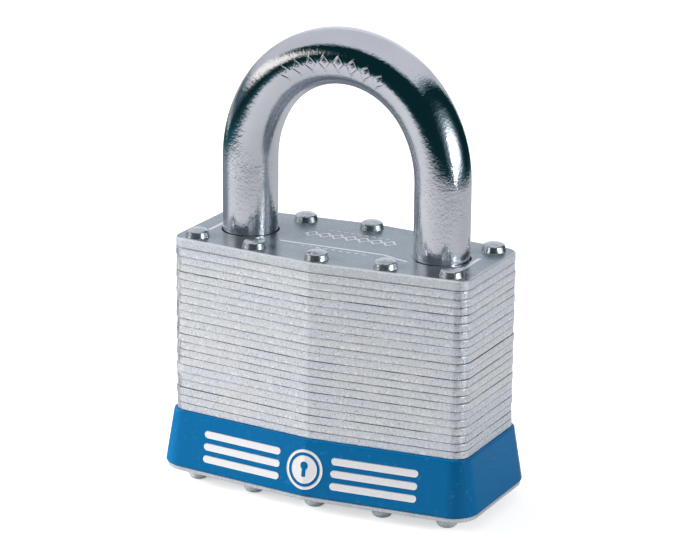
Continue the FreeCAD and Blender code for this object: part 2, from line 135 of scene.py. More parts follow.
def rounded_loop(corners, radii, steps, lead):
    """A closed outline with round corners, as points and outward normals. The corners go
    anticlockwise. An arc's centre is its corner less r(m + n)/(1 + m.n), with m and n the
    normals of the sides that meet there. A point just before and after each arc keeps
    the sides between them flat."""
    corners = np.array(corners)
    ahead = np.roll(corners, -1, 0) - corners
    ahead /= np.linalg.norm(ahead, axis=1)[:, None]
    behind = np.roll(ahead, 1, 0)
    radius = np.array(radii)[:, None]
    start = np.arctan2(-behind[:, 0], behind[:, 1])
    turn = (np.arctan2(-ahead[:, 0], ahead[:, 1]) - start) % (2*math.pi)
    angle = start[:, None] + turn[:, None]*np.linspace(0, 1, steps + 1)
    normals = np.stack([np.cos(angle), np.sin(angle)], -1)
    both = normals[:, 0] + normals[:, -1]
    centre = corners - radius*both/(1 + np.cos(turn))[:, None]
    points = centre[:, None] + radius[:, :, None]*normals
    before = points[:, :1] - lead*behind[:, None]
    after = points[:, -1:] + lead*ahead[:, None]
    points = np.concatenate([before, points, after], 1)
    normals = np.concatenate([normals[:, :1], normals, normals[:, -1:]], 1)
    return points.reshape(-1, 2), normals.reshape(-1, 2)


def shell(upper, lower, wrap_rows=False):
    """Points and quads of a closed thin piece between two grids of points of the same
    shape, with its rim closed."""
    rows, columns = upper.shape[:2]
    count = rows*columns
    faces = [grid_quads(rows, columns, wrap_rows)]
    faces.append(grid_quads(rows, columns, wrap_rows, start=count)[:, ::-1])
    index = np.arange(count).reshape(rows, columns)
    rims = [(index[:, -1], wrap_rows), (index[:, 0][::-1], wrap_rows)]
    if not wrap_rows:
        rims += [(index[0], False), (index[-1][::-1], False)]
    for rim, closed in rims:
        here = rim if closed else rim[:-1]
        there = np.roll(rim, -1) if closed else rim[1:]
        faces.append(np.stack([there, here, here + count, there + count], -1))
    points = np.concatenate([upper.reshape(-1, 3), lower.reshape(-1, 3)])
    return points, turned_out(points, np.concatenate(faces))


def join_shells(shells):
    """Points and quads of several shells as one mesh's."""
    point_sets, quad_sets = zip(*shells)
    starts = np.cumsum([0] + [len(points) for points in point_sets])
    faces = [quads + start for quads, start in zip(quad_sets, starts)]
    return np.concatenate(point_sets), np.concatenate(faces)


def soft_step(value):
    """0 below 0, 1 above 1, and 3v^2 - 2v^3 between."""
    clipped = np.clip(value, 0, 1)
    return clipped*clipped*(3 - 2*clipped)


def bar_distance(x, y, centre, half, lean=0.0):
    """Distance of points from a bar with round ends, less than 0 inside. Half holds its
    half length and half width, and the bar lies along x before it turns by the lean."""
    dx = x - centre[0]
    dy = y - centre[1]
    along = dx*math.cos(lean) + dy*math.sin(lean)
    across = dy*math.cos(lean) - dx*math.sin(lean)
    beyond = np.maximum(np.abs(along) - (half[0] - half[1]), 0)
    return np.hypot(beyond, across) - half[1]


def lozenge_distance(x, y, centre, half, line):
    """Distance of points from the outline of a lozenge, less than 0 on the line."""
    reach = np.abs(x - centre[0])/half[0] + np.abs(y - centre[1])/half[1] - 1
    return np.abs(reach*half[0]*half[1]/math.hypot(*half)) - line/2


def pressed(distances, edge):
    """How far a stamped mark stands up, from 0 to 1: its sides rise over the edge width."""
    return soft_step(0.5 - np.minimum.reduce(distances)/edge)


# ======== helpers for shader nodes ========
def set_inputs(tree, node, inputs):
    """Links the inputs that are given as sockets and sets the others."""
    for key, value in inputs.items():
        if isinstance(value, bpy.types.NodeSocket):
            tree.links.new(value, node.inputs[key])
        else:
            node.inputs[key].default_value = value


def add_node(tree, kind, inputs, **settings):
    """A node of the kind. The settings come first, since some of them change the inputs."""
    node = tree.nodes.new("ShaderNode" + kind)
    for key, value in settings.items():
        setattr(node, key, value)
    set_inputs(tree, node, inputs)
    return node


def calc(tree, operation, first, second=0.0, third=0.0):
    """A Math node's result. An operation that needs fewer inputs leaves the rest alone."""
    inputs = {0: first, 1: second, 2: third}
    return add_node(tree, "Math", inputs, operation=operation).outputs[0]


def times(tree, first, second):
    """The product of two values."""
    return calc(tree, "MULTIPLY", first, second)


def scaled(tree, value, factor, start):
    """value*factor + start."""
    return calc(tree, "MULTIPLY_ADD", value, factor, start)


def split(tree, vector):
    """The x, y and z of a vector."""
    return add_node(tree, "SeparateXYZ", {0: vector}).outputs


def object_place(tree):
    """Object coordinates."""
    return add_node(tree, "TexCoord", {}).outputs["Object"]


def dot(tree, vector, other):
    """The dot product of two vectors."""
    inputs = {0: vector, 1: other}
    return add_node(tree, "VectorMath", inputs, operation="DOT_PRODUCT").outputs["Value"]


def smooth_range(tree, value, low, high, out_low=0.0, out_high=1.0):
    """Smooth change from out_low to out_high as the value goes from low to high."""
    labels = ("Value", "From Min", "From Max", "To Min", "To Max")
    inputs = dict(zip(labels, (value, low, high, out_low, out_high)))
    return add_node(tree, "MapRange", inputs, interpolation_type="SMOOTHSTEP").outputs[0]


def mix_colour(tree, factor, first, second):
    """The first colour where the factor is 0 and the second where it is 1. A colour is a
    socket or red, green and blue."""
    inputs = {0: factor}
    for key, colour in ((6, first), (7, second)):
        inputs[key] = colour + (1,) if isinstance(colour, tuple) else colour
    return add_node(tree, "Mix", inputs, data_type="RGBA").outputs[2]


def noise(tree, vector, scale, detail, roughness):
    """Noise from 0 to 1, finer as the scale grows."""
    inputs = {"Vector": vector, "Scale": scale, "Detail": detail, "Roughness": roughness}
    return add_node(tree, "TexNoise", inputs).outputs[0]


def stretched(tree, vector, scale):
    """The vector times a scale of its own for each axis."""
    return add_node(tree, "Mapping", {"Vector": vector, "Scale": scale}).outputs[0]


def one_luck(tree, number):
    """A chance value from 0 to 1 that stays the same for one number."""
    return add_node(tree, "TexWhiteNoise", {"W": number}, noise_dimensions="1D").outputs[0]


def bump(tree, height, distance):
    """The normal of a relief as deep as the distance."""
    return add_node(tree, "Bump", {"Height": height, "Distance": distance}).outputs[0]


def new_group(name, inputs, outputs):
    """A shader node group whose inputs and outputs are given as name to kind."""
    group = bpy.data.node_groups.new(name, "ShaderNodeTree")
    for way, sockets in (("INPUT", inputs), ("OUTPUT", outputs)):
        for label, kind in sockets.items():
            group.interface.new_socket(label, in_out=way, socket_type="NodeSocket" + kind)
    source = group.nodes.new("NodeGroupInput")
    result = group.nodes.new("NodeGroupOutput")
    return group, source.outputs, result.inputs


def use_group(tree, group, inputs):
    """Places a group with its own inputs, and gives its outputs."""
    node = tree.nodes.new("ShaderNodeGroup")
    node.node_tree = group
    set_inputs(tree, node, inputs)
    return node.outputs


def new_material(name, **constants):
    """A material with one Principled BSDF; the constants are set on its own sockets."""
    material = bpy.data.materials.new(name)
    material.use_nodes = True
    tree = material.node_tree
    shader = tree.nodes["Principled BSDF"]
    for key, value in constants.items():
        shader.inputs[key.replace("_", " ")].default_value = value
    return material, tree, shader, object_place(tree)


def set_surface(tree, shader, base, rough, relief, depth):
    """Links a finish's colour and roughness, and a relief of the depth as its bump."""
    tree.links.new(base, shader.inputs["Base Color"])
    tree.links.new(rough, shader.inputs["Roughness"])
    tree.links.new(bump(tree, relief, depth), shader.inputs["Normal"])


# ======== effects that several finishes share ========
def grain_group():
    """Fine grain: a mask from 0 to 1 round a half, and a height for a bump."""
    kinds = {"Place": "Vector", "Scale": "Float", "Contrast": "Float"}
    results = {"Mask": "Float", "Height": "Float"}
    group, source, result = new_group("fine_grain", kinds, results)
    fine = noise(group, source["Place"], source["Scale"], 3.0, 0.65)
    centred = calc(group, "SUBTRACT", fine, 0.5)
    mask = scaled(group, centred, source["Contrast"], 0.5)
    group.links.new(add_node(group, "Clamp", {0: mask}).outputs[0], result["Mask"])
    group.links.new(fine, result["Height"])
    return group


def wear_group():
    """Patches and specks where the surface has been rubbed: masks from 0 to 1."""
    kinds = {"Place": "Vector", "Patch Scale": "Float", "Speck Scale": "Float"}
    results = {"Patches": "Float", "Specks": "Float"}
    group, source, result = new_group("handling_wear", kinds, results)
    patch = noise(group, source["Place"], source["Patch Scale"], 2.0, 0.5)
    speck = noise(group, source["Place"], source["Speck Scale"], 4.0, 0.7)
    group.links.new(smooth_range(group, patch, 0.42, 0.68), result["Patches"])
    group.links.new(smooth_range(group, speck, 0.58, 0.70), result["Specks"])
    return group


GRAIN = grain_group()
WEAR = wear_group()


def fine_grain(tree, place, scale, contrast):
    """The grain's Mask and Height at a place."""
    return use_group(tree, GRAIN, {"Place": place, "Scale": scale, "Contrast": contrast})


def handling_wear(tree, place, patch_scale, speck_scale):
    """The wear's Patches and Specks at a place."""
    inputs = {"Place": place, "Patch Scale": patch_scale, "Speck Scale": speck_scale}
    return use_group(tree, WEAR, inputs)


# ======== finishes ========
def plate_joints(tree, count, place):
    """1 on the dark lines between the plates and 0 beside them. Their width changes along
    a plate, and their strength from joint to joint."""
    joint_luck = one_luck(tree, calc(tree, "ROUND", count))
    to_joint = calc(tree, "PINGPONG", count, 0.5)
    broken = noise(tree, stretched(tree, place, (1, 1, 0.5)), 210.0, 3.0, 0.6)
    reach = smooth_range(tree, broken, 0.3, 0.62, 0.03, 0.075)
    line = smooth_range(tree, to_joint, 0.022, reach, 1.0, 0.0)
    strength = smooth_range(tree, joint_luck, 0.1, 0.75, 0.35, 1.0)
    fading = smooth_range(tree, broken, 0.32, 0.56, 0.3, 1.0)
    return times(tree, line, times(tree, strength, fading))


def rubbed_corners(tree, place, shear):
    """1 where handling has polished the body's rounded corners, in uneven streaks."""
    across = calc(tree, "ABSOLUTE", split(tree, place)[0])
    end = BODY_HALF_WIDTH
    corner = smooth_range(tree, across, end - 2.7*MM, end - 2.0*MM)
    clear_of_end = smooth_range(tree, across, end - 0.35*MM, end - 0.12*MM, 1.0, 0.0)
    uneven = smooth_range(tree, shear, 0.35, 0.6)
    return times(tree, corner, times(tree, clear_of_end, uneven))


def sheared_steel():
    """Edges of the stacked plates. Each plate is rolled over at its top and torn and speckled
    lower down, with painted glints there, and a dark line of uneven strength at each joint."""
    material, tree, shader, place = new_material("sheared_steel")
    height = split(tree, place)[2]
    count = calc(tree, "DIVIDE", calc(tree, "SUBTRACT", height, FIRST_LAYER_Z), LAYER_PITCH)
    part = calc(tree, "FRACT", count)
    layer_luck = one_luck(tree, calc(tree, "FLOOR", count))
    line = plate_joints(tree, count, place)
    grain = fine_grain(tree, place, 2300.0, 2.6)
    sparkle = fine_grain(tree, place, 1500.0, 1.0)
    wear = handling_wear(tree, place, 110.0, 2600.0)
    shear = noise(tree, stretched(tree, place, (1, 1, 0.14)), 2300.0, 2.0, 0.6)
    tone = noise(tree, stretched(tree, place, (1, 1, 2.2)), 45.0, 2.0, 0.6)
    rubbed = rubbed_corners(tree, place, shear)

    # A cool or warm grey by patch and by plate, then its speckle and its pits.
    warm = smooth_range(tree, scaled(tree, layer_luck, 0.2, tone), 0.52, 0.75)
    base = mix_colour(tree, warm, (0.605, 0.635, 0.68), (0.685, 0.675, 0.655))
    base = mix_colour(tree, grain["Mask"], base, (0.86, 0.88, 0.91))
    pits = smooth_range(tree, grain["Height"], 0.25, 0.35, 0.42, 0.0)
    base = mix_colour(tree, pits, base, (0.33, 0.35, 0.37))

    # Painted white glints, with the wear specks, on the torn part of each plate, and the dark joints
    # over everything.
    torn = smooth_range(tree, scaled(tree, shear, 0.5, part), 0.45, 0.85, 1.0, 0.15)
    glints = smooth_range(tree, sparkle["Height"], 0.54, 0.61)
    glints = times(tree, calc(tree, "MAXIMUM", wear["Specks"], glints), torn)
    base = mix_colour(tree, glints, base, (1.0, 1.0, 1.0))
    base = mix_colour(tree, line, base, (0.055, 0.08, 0.09))

    metallic = scaled(tree, line, -0.3, scaled(tree, rubbed, 0.32, 0.6))
    tree.links.new(metallic, shader.inputs["Metallic"])
    rough = scaled(tree, rubbed, -0.03, scaled(tree, grain["Mask"], 0.14, 0.26))
    rolled = smooth_range(tree, part, 0.72, 1.05, 0.0, -0.9)
    texture = scaled(tree, shear, 1.1, grain["Height"])
    set_surface(tree, shader, base, rough, scaled(tree, texture, 0.9, rolled), 0.05*MM)
    return material


def rivet_steel():
    """Peened rivets: satin heads, mottled by the tool, with speckles where the plating has
    broken, and paler, duller feet."""
    material, tree, shader, place = new_material("rivet_steel")
    head = smooth_range(tree, split(tree, place)[2], BUMPER_LOW.z, BUMPER_HIGH.z)
    grain = fine_grain(tree, place, 1500.0, 2.2)
    wear = handling_wear(tree, place, 380.0, 1700.0)
    base = mix_colour(tree, grain["Mask"], (0.56, 0.62, 0.64), (0.82, 0.85, 0.87))
    base = mix_colour(tree, wear["Specks"], base, (0.96, 0.97, 0.98))
    tree.links.new(scaled(tree, head, 0.63, 0.3), shader.inputs["Metallic"])
    rough = scaled(tree, wear["Patches"], 0.08, 0.19)
    set_surface(tree, shader, base, rough, grain["Height"], 0.05*MM)
    return material


def distance_to_rim(tree, x, y):
    """How far a point of a plate's face lies inside the plate's outline."""
    across = calc(tree, "ABSOLUTE", x)
    sloped = scaled(tree, across, RIDGE_SLOPE, calc(tree, "ABSOLUTE", y))
    to_front = calc(tree, "SUBTRACT", BODY_HALF_DEPTH, sloped)
    to_end = calc(tree, "SUBTRACT", BODY_HALF_WIDTH, across)
    return calc(tree, "MINIMUM", to_front, to_end)


def top_plate_steel():
    """The top plate's face is smooth, satin plate with a fine speckle and a painted highlight
    along its rim; its sheared edge, below the face, is torn like the plates under it.
    Marks that stand proud of the face are painted pale as a highlight."""
    material, tree, shader, place = new_material("top_plate_steel")
    x, y, z = split(tree, place)
    top = TOP_HIGH.z
    face = smooth_range(tree, z, top - 0.2*MM, top - 0.06*MM)
    edge = calc(tree, "SUBTRACT", 1.0, face)
    # Painted highlight: marks that stand proud of the face are painted pale.
    proud = smooth_range(tree, z, top - 0.01*MM, top + 0.05*MM)
    # Painted highlight: the face is painted paler in a band along the plate's outline.
    rim = smooth_range(tree, distance_to_rim(tree, x, y), 0.2*MM, 0.6*MM, 0.8, 0.0)
    grain = fine_grain(tree, place, 2300.0, 2.0)
    drawn = fine_grain(tree, stretched(tree, place, (0.12, 1, 1)), 1500.0, 1.4)
    wear = handling_wear(tree, place, 130.0, 2000.0)
    satin = mix_colour(tree, drawn["Mask"], (0.20, 0.24, 0.285), (0.29, 0.335, 0.38))
    satin = mix_colour(tree, times(tree, wear["Specks"], 0.45), satin, (0.8, 0.84, 0.88))
    # The painted rim highlight.
    satin = mix_colour(tree, rim, satin, (0.85, 0.88, 0.9))
    # The painted highlight on the proud marks.
    satin = mix_colour(tree, proud, satin, (0.86, 0.89, 0.91))
    torn = mix_colour(tree, grain["Mask"], (0.56, 0.60, 0.64), (0.86, 0.875, 0.89))
    torn = mix_colour(tree, wear["Specks"], torn, (1.0, 1.0, 1.0))
    tree.links.new(scaled(tree, face, 0.07, 0.65), shader.inputs["Metallic"])
    rough = scaled(tree, wear["Patches"], 0.08, 0.2)
    rough = scaled(tree, proud, 0.12, scaled(tree, edge, 0.12, rough))
    base = mix_colour(tree, face, torn, satin)
    set_surface(tree, shader, base, rough, grain["Height"], 0.03*MM)
    return material


def chrome():
    """Hard chrome over drawn bar: mirror bright, with a slight ripple and fine rubs."""
    material, tree, shader, place = new_material("shackle_chrome", Metallic=1.0)
    ripple = noise(tree, place, 420.0, 2.0, 0.6)
    grain = fine_grain(tree, place, 1900.0, 1.6)
    wear = handling_wear(tree, place, 90.0, 1900.0)
    base = mix_colour(tree, wear["Patches"], (0.84, 0.85, 0.88), (0.78, 0.79, 0.83))
    base = mix_colour(tree, times(tree, wear["Specks"], 0.3), base, (0.55, 0.57, 0.6))
    rough = scaled(tree, wear["Patches"], 0.05, 0.05)
    height = scaled(tree, grain["Height"], 1.25, ripple)
    set_surface(tree, shader, base, rough, height, 0.03*MM)
    return material


def blue_plastic():
    """Glossy moulded plastic, dyed through, with a faint orange peel and small rubs."""
    material, tree, shader, place = new_material("blue_plastic", Specular_IOR_Level=0.15)
    grain = fine_grain(tree, place, 1300.0, 1.0)
    wear = handling_wear(tree, place, 70.0, 900.0)
    base = mix_colour(tree, grain["Mask"], (0.0, 0.098, 0.245), (0.0, 0.114, 0.283))
    base = mix_colour(tree, wear["Patches"], base, (0.0, 0.11, 0.276))
    base = mix_colour(tree, times(tree, wear["Specks"], 0.25), base, (0.08, 0.27, 0.55))
    rough = scaled(tree, wear["Patches"], 0.05, 0.08)
    set_surface(tree, shader, base, rough, grain["Height"], 0.006*MM)
    return material


def white_print():
    """Opaque pad-printed ink, slightly uneven, with small pinholes of wear."""
    material, tree, shader, place = new_material("white_print")
    grain = fine_grain(tree, place, 2200.0, 1.5)
    wear = handling_wear(tree, place, 200.0, 1300.0)
    base = mix_colour(tree, grain["Mask"], (0.61, 0.59, 0.59), (0.69, 0.67, 0.67))
    base = mix_colour(tree, times(tree, wear["Specks"], 0.3), base, (0.4, 0.5, 0.62))
    rough = scaled(tree, wear["Patches"], 0.1, 0.42)
    set_surface(tree, shader, base, rough, grain["Height"], 0.01*MM)
    return material


def turned_metal(name, pale, deep, roughness, turns=3000.0):
    """Machined metal: fine rings of the cutting tool, darker where oil has stained it."""
    material, tree, shader, place = new_material(name, Metallic=1.0)
    grain = fine_grain(tree, stretched(tree, place, (0.2, 0.2, 1)), turns, 1.8)
    wear = handling_wear(tree, place, 240.0, 1600.0)
    base = mix_colour(tree, grain["Mask"], deep, pale)
    stain = tuple(0.6*value for value in deep)
    base = mix_colour(tree, times(tree, wear["Patches"], 0.5), base, stain)
    rough = scaled(tree, wear["Patches"], 0.12, roughness)
    set_surface(tree, shader, base, rough, grain["Height"], 0.015*MM)
    return material


# By the record's material slots. The slot plated_steel is the top plate's.
FINISHES = {
    "sheared_steel": sheared_steel(),
    "plated_steel": top_plate_steel(),
    "rivet_steel": rivet_steel(),
    "blue_plastic": blue_plastic(),
    "shackle_chrome": chrome(),
    "spring_steel": turned_metal("spring_steel", (0.55, 0.55, 0.56), (0.34, 0.34, 0.36), 0.3),
    "brass": turned_metal("brass", (0.86, 0.68, 0.36), (0.66, 0.48, 0.20), 0.24),
    "pin_brass": turned_metal("pin_brass", (0.90, 0.73, 0.42), (0.70, 0.53, 0.25), 0.2),
    "zinc_alloy": turned_metal("zinc_alloy", (0.62, 0.63, 0.65), (0.44, 0.45, 0.47), 0.42, 1500.0),
    "lever_steel": turned_metal("lever_steel", (0.58, 0.57, 0.56), (0.38, 0.37, 0.37), 0.34, 1700.0),
}
PRINT = white_print()


def finish_cad_nodes():
    """Every CAD node takes the finish of its slot in the record."""
    for entry in frame["record"]["subparts"]:
        node = frame["nodes"][entry["node"]]
        node.data.materials.clear()
        node.data.materials.append(FINISHES[entry["material_slot"]])


# ======== springs ========
def coil_path(low, high, axis, turns, wire):
    """A spring wire's centre line and its outward directions, in a box from low to high.
    The centre is at angle a round the axis on a ring, and climbs one wire per turn at
    either end and evenly between."""
    across = [side for side in range(3) if side != axis]
    first, second = np.eye(3)[across]
    upward = np.eye(3)[axis]
    ring = (high - low)[across[0]]/2 - wire
    climb = (high - low)[axis] - 2*wire
    end_climb = 2.05*wire
    angle = np.linspace(0, 2*math.pi*turns, turns*COIL_STEPS + 1)
    knots = ([0, 1, turns - 1, turns], [0, end_climb, climb - end_climb, climb])
    level = low[axis] + wire + np.interp(angle/(2*math.pi), *knots)
    outward = np.cos(angle)[:, None]*first + np.sin(angle)[:, None]*second
    centre = (low + high)/2*(1 - upward) + ring*outward + level[:, None]*upward
    return centre, outward


def coil_surface(centre, outward, wire):
    """Points and quads of a wire round its centre line: w(cos b outward + sin b sideways),
    with a flat cap at either end."""
    ahead = np.gradient(centre, axis=0)
    ahead /= np.linalg.norm(ahead, axis=1)[:, None]
    sideways = np.cross(ahead, outward)
    turn = np.linspace(0, 2*math.pi, WIRE_SIDES + 1)[:-1, None]
    round_wire = np.cos(turn)*outward[:, None] + np.sin(turn)*sideways[:, None]
    rings = centre[:, None] + wire*round_wire
    points = np.concatenate([rings.reshape(-1, 3), centre[:1], centre[-1:]])
    count = len(centre)*WIRE_SIDES
    even = np.arange(0, WIRE_SIDES, 2)
    fan = np.stack([even, even + 1, (even + 2) % WIRE_SIDES], -1)
    first_cap = np.column_stack([fan, np.full(len(fan), count)])
    last_fan = fan[:, ::-1] + count - WIRE_SIDES
    last_cap = np.column_stack([last_fan, np.full(len(fan), count + 1)])
    wall = grid_quads(len(centre), WIRE_SIDES, wrap_columns=True)
    return points, turned_out(points, np.concatenate([wall, first_cap, last_cap]))


def coil_spring(node, axis, turns, wire):
    """A compression spring with closed ends, in the box of its CAD node."""
    low, high = (np.array(corner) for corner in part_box(node))
    points, faces = coil_surface(*coil_path(low, high, axis, turns, wire), wire)
    piece = mesh_object(node + "_wire", points, faces, FINISHES["spring_steel"])
    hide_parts(node)
    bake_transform(piece)


def springs():
    """The shackle's spring, the two levers' and the five driver pins'."""
    coil_spring("shackle_spring", Z_AXIS, 5, 0.3*MM)
    coil_spring("lever_spring_left", Y_AXIS, 6, 0.15*MM)
    coil_spring("lever_spring_right", Y_AXIS, 6, 0.15*MM)
    for number in range(1, 6):
        coil_spring("pin_spring_%d" % number, X_AXIS, 8, 0.15*MM)


# ======== stamped marks ========
def grid_over(low, high, step):
    """Evenly spaced values over a rectangle, as two arrays."""
    first = np.linspace(low[0], high[0], int(round((high[0] - low[0])/step)) + 1)
    second = np.linspace(low[1], high[1], int(round((high[1] - low[1])/step)) + 1)
    return np.meshgrid(first, second, indexing="ij")


def stamped_plate(name, x, y, distances):
    """A skin level with the top plate: z = plate - sink + (sink + height)*pressed(x, y)."""
    rise = pressed(distances, 0.3*MM)
    level = TOP_HIGH.z - STAMP_SINK + (STAMP_SINK + STAMP_HIGH)*rise
    upper = np.stack([x, y, level], -1)
    lower = np.stack([x, y, np.full_like(x, TOP_HIGH.z - STAMP_DEEP)], -1)
    points, faces = shell(upper, lower)
    piece = mesh_object(name, points, faces, FINISHES["plated_steel"])
    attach(piece, "body")


def top_plate_marks():
    """A stamped panel: a row of lozenges with dashes above and below it, a long rule and a
    short one that leans."""
    x, y = grid_over((-13.0*MM, -7.4*MM), (17.6*MM, 7.4*MM), STAMP_STEP)
    distances = []
    lozenge = (1.25*MM, 1.5*MM)
    for centre in np.linspace(-8.6*MM, 8.0*MM, 7):
        middle = (centre, 3.2*MM + 0.06*centre)
        distances.append(lozenge_distance(x, y, middle, lozenge, 0.45*MM))
    dash_rows = (
        # first and last x, y, half size
        (-6.0*MM, 6.3*MM, 6.25*MM, (0.5*MM, 0.22*MM)),
        (-6.4*MM, 7.1*MM, -5.5*MM, (0.55*MM, 0.22*MM)),
    )
    for first, last, level, dash in dash_rows:
        for centre in np.linspace(first, last, 9):
            distances.append(bar_distance(x, y, (centre, level), dash))
    rules = (
        # middle, half size, lean
        ((-0.95*MM, -4.1*MM), (11.2*MM, 0.36*MM), math.atan2(0.85, 22.3)),
        ((13.3*MM, -4.7*MM), (3.4*MM, 0.3*MM), -0.33),
    )
    for middle, rule, lean in rules:
        distances.append(bar_distance(x, y, middle, rule, lean))
    stamped_plate("top_plate_marks", x, y, distances)


def end_bead(name, side):
    """A low bead across the end of the top plate, outside the leg on that side."""
    middle = side*27.6*MM
    x, y = grid_over((middle - 1.0*MM, -5.6*MM), (middle + 1.0*MM, 3.9*MM), STAMP_STEP)
    bead = bar_distance(x, y, (middle, -0.85*MM), (4.0*MM, 0.45*MM), math.pi/2)
    stamped_plate(name, x, y, [bead])


def crown_marks():
    """Lozenges pressed along the front of the shackle's crown. The skin's points are at
    angle p round the crown and angle q round the bar, from straight out towards -Y:
    ring radius = crown + r cos q, y = -r sin q, with r = leg - sink + rise."""
    first, last = math.radians(57.5), math.radians(125.0)
    front = math.radians(95.0)
    margin = 0.03
    half_width = 0.42
    step = 0.0085
    low = (first - margin, front - half_width)
    high = (last + margin, front + half_width)
    along, across = grid_over(low, high, step)
    run = (along - (first + last)/2)*CROWN_RADIUS
    height = (across - front)*LEG_RADIUS
    reach = (last - first)/2*CROWN_RADIUS - 1.3*MM
    distances = []
    for centre in np.linspace(-reach, reach, 8):
        middle = (centre, 0.0)
        distances.append(lozenge_distance(run, height, middle, (1.2*MM, 1.6*MM), 0.36*MM))
        distances.append(bar_distance(run, height, middle, (0.28*MM, 0.2*MM)))
    rise = pressed(distances, 0.2*MM)

    def place(bar_radius):
        """The skin's points at a radius from the bar's centre line."""
        ring = CROWN_RADIUS + bar_radius*np.cos(across)
        level = CROWN_Z + ring*np.sin(along)
        return np.stack([ring*np.cos(along), -bar_radius*np.sin(across), level], -1)

    upper = place(LEG_RADIUS - STAMP_SINK + (STAMP_SINK + STAMP_HIGH)*rise)
    points, faces = shell(upper, place(LEG_RADIUS - STAMP_DEEP))
    piece = mesh_object("crown_marks", points, faces, FINISHES["shackle_chrome"])
    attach(piece, "shackle")


# ======== the bumper and its print ========
def bumper_sleeve():
    """The plastic sleeve: the body's outline moved outwards by the profile's offset, at
    the profile's height. The profile leans in from the foot to the top."""
    half = BODY_HALF_WIDTH
    depth = BODY_HALF_DEPTH
    end = depth - RIDGE_SLOPE*half
    plan = [(half, -end), (half, end), (0, depth), (-half, end), (-half, -end), (0, -depth)]
    radii = [CORNER_RADIUS, CORNER_RADIUS, RIDGE_RADIUS]*2
    outline, outward = rounded_loop(plan, radii, 24, 0.3*MM)
    low, high = BUMPER_LOW.z, BUMPER_HIGH.z
    section = [(FLARE_LOW, low), (FLARE_HIGH, high), (BUMPER_INSIDE, high), (BUMPER_INSIDE, low)]
    section_radii = [BUMPER_ROUND, BUMPER_ROUND, BORE_ROUND, BORE_ROUND]
    profile = rounded_loop(section, section_radii, 7, 0.05*MM)[0]
    flat = outline[:, None] + profile[None, :, :1]*outward[:, None]
    level = np.broadcast_to(profile[None, :, 1:], flat.shape[:2] + (1,))
    grid = np.concatenate([flat, level], -1)
    points = grid.reshape(-1, 3)
    faces = turned_out(points, grid_quads(*grid.shape[:2], wrap_rows=True, wrap_columns=True))
    piece = mesh_object("bumper_sleeve", points, faces, FINISHES["blue_plastic"])
    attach(piece, "body")
    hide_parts("bumper")


def bumper_front(x, z, proud):
    """Points on the bumper's front: y = -(ridge + flare*sqrt(1 + m^2) - m|x|), with the
    flare falling evenly from the bumper's foot to its top."""
    up = (z - BUMPER_LOW.z)/(BUMPER_HIGH.z - BUMPER_LOW.z)
    flare = FLARE_LOW + (FLARE_HIGH - FLARE_LOW)*up + proud
    y = -(BODY_HALF_DEPTH + flare*math.sqrt(1 + RIDGE_SLOPE**2) - RIDGE_SLOPE*np.abs(x))
    return np.stack([x, y, z], -1)


def print_shell(x, z, wrap_rows=False):
    """A thin closed piece of print on the bumper's front."""
    upper = bumper_front(x, z, PRINT_HIGH)
    return shell(upper, bumper_front(x, z, -PRINT_SINK), wrap_rows)


def print_bar(middle, half_length, half_height):
    """A printed bar with round ends: t runs along it and s across it, and the half height
    shrinks near an end as the square root of 1 - (distance past the end/half height)^2."""
    t = -half_length*np.cos(np.linspace(0, math.pi, 97))
    near_end = np.maximum(np.abs(t) - (half_length - half_height), 0)/half_height
    span = half_height*np.sqrt(np.maximum(1 - near_end**2, 0.0004))
    s = np.linspace(-1, 1, 9)
    z = middle[1] + span[:, None]*s
    x = np.broadcast_to(middle[0] + t[:, None], z.shape)
    return print_shell(x, z)


def print_keyhole_disc(centre, radius):
    """A disc with a keyhole through it. From the keyhole's round the disc's rim is at
    -c sin a + sqrt(R^2 - (c cos a)^2), and the keyhole's rim is the larger of its round
    and its slot, which is bounded by two uprights and a foot."""
    angle = np.linspace(0, 2*math.pi, 193)[:-1]
    cosine, sine = np.cos(angle), np.sin(angle)
    lift = 0.28*radius
    keyhole_round = 0.30*radius
    rim = -lift*sine + np.sqrt(radius**2 - (lift*cosine)**2)
    foot = 0.80*radius/np.maximum(-sine, 1e-6)
    uprights = 0.16*radius/np.maximum(np.abs(cosine), 1e-6)
    slot = np.maximum(np.minimum(foot, uprights), keyhole_round)
    hole = np.where(sine < 0, slot, keyhole_round)
    t = np.linspace(0, 1, 17)
    reach = hole[:, None]*(1 - t) + rim[:, None]*t
    x = centre[0] + reach*cosine[:, None]
    z = centre[1] + lift + reach*sine[:, None]
    return print_shell(x, z, wrap_rows=True)


def print_ring(centre, radius, half_width):
    """A flat ring: centre + r(cos a, sin a), with r across the ring's width."""
    angle = np.linspace(0, 2*math.pi, 161)[:-1, None]
    reach = radius + half_width*np.linspace(-1, 1, 5)
    x = centre[0] + reach*np.cos(angle)
    z = centre[1] + reach*np.sin(angle)
    return print_shell(x, z, wrap_rows=True)


def bumper_emblem():
    """A printed keyhole in a ring, with three bars at either side of it."""
    centre = (0.0, BUMPER_LOW.z + EMBLEM_LEVEL)
    shells = [print_keyhole_disc(centre, DISC_RADIUS)]
    shells.append(print_ring(centre, RING_RADIUS, RING_HALF_WIDTH))
    for side in (-1, 1):
        for row in (-1, 0, 1):
            middle = (side*BAR_MIDDLE, centre[1] + row*BAR_PITCH)
            shells.append(print_bar(middle, BAR_HALF_LENGTH, BAR_HALF_HEIGHT))
    points, faces = join_shells(shells)
    piece = mesh_object("bumper_emblem", points, faces, PRINT)
    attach(piece, "body")


# ======== camera, light and floor ========
CAMERA_TURN = math.radians(26.945)   # to the right of the front
CAMERA_TILT = math.radians(17.221)   # above the level
CAMERA_ROLL = math.radians(0.535)
CAMERA_TARGET = Vector((-3.79*MM, 9.89*MM, TOP_HIGH.z - 10.82*MM))
CAMERA_DISTANCE = 594.1*MM
CAMERA_LENS = 153.1
LIGHT_DISTANCE = 0.9
LIGHTS_AIM = Vector((0, 0, 0.045))
FLOOR_RADIUS = 0.52

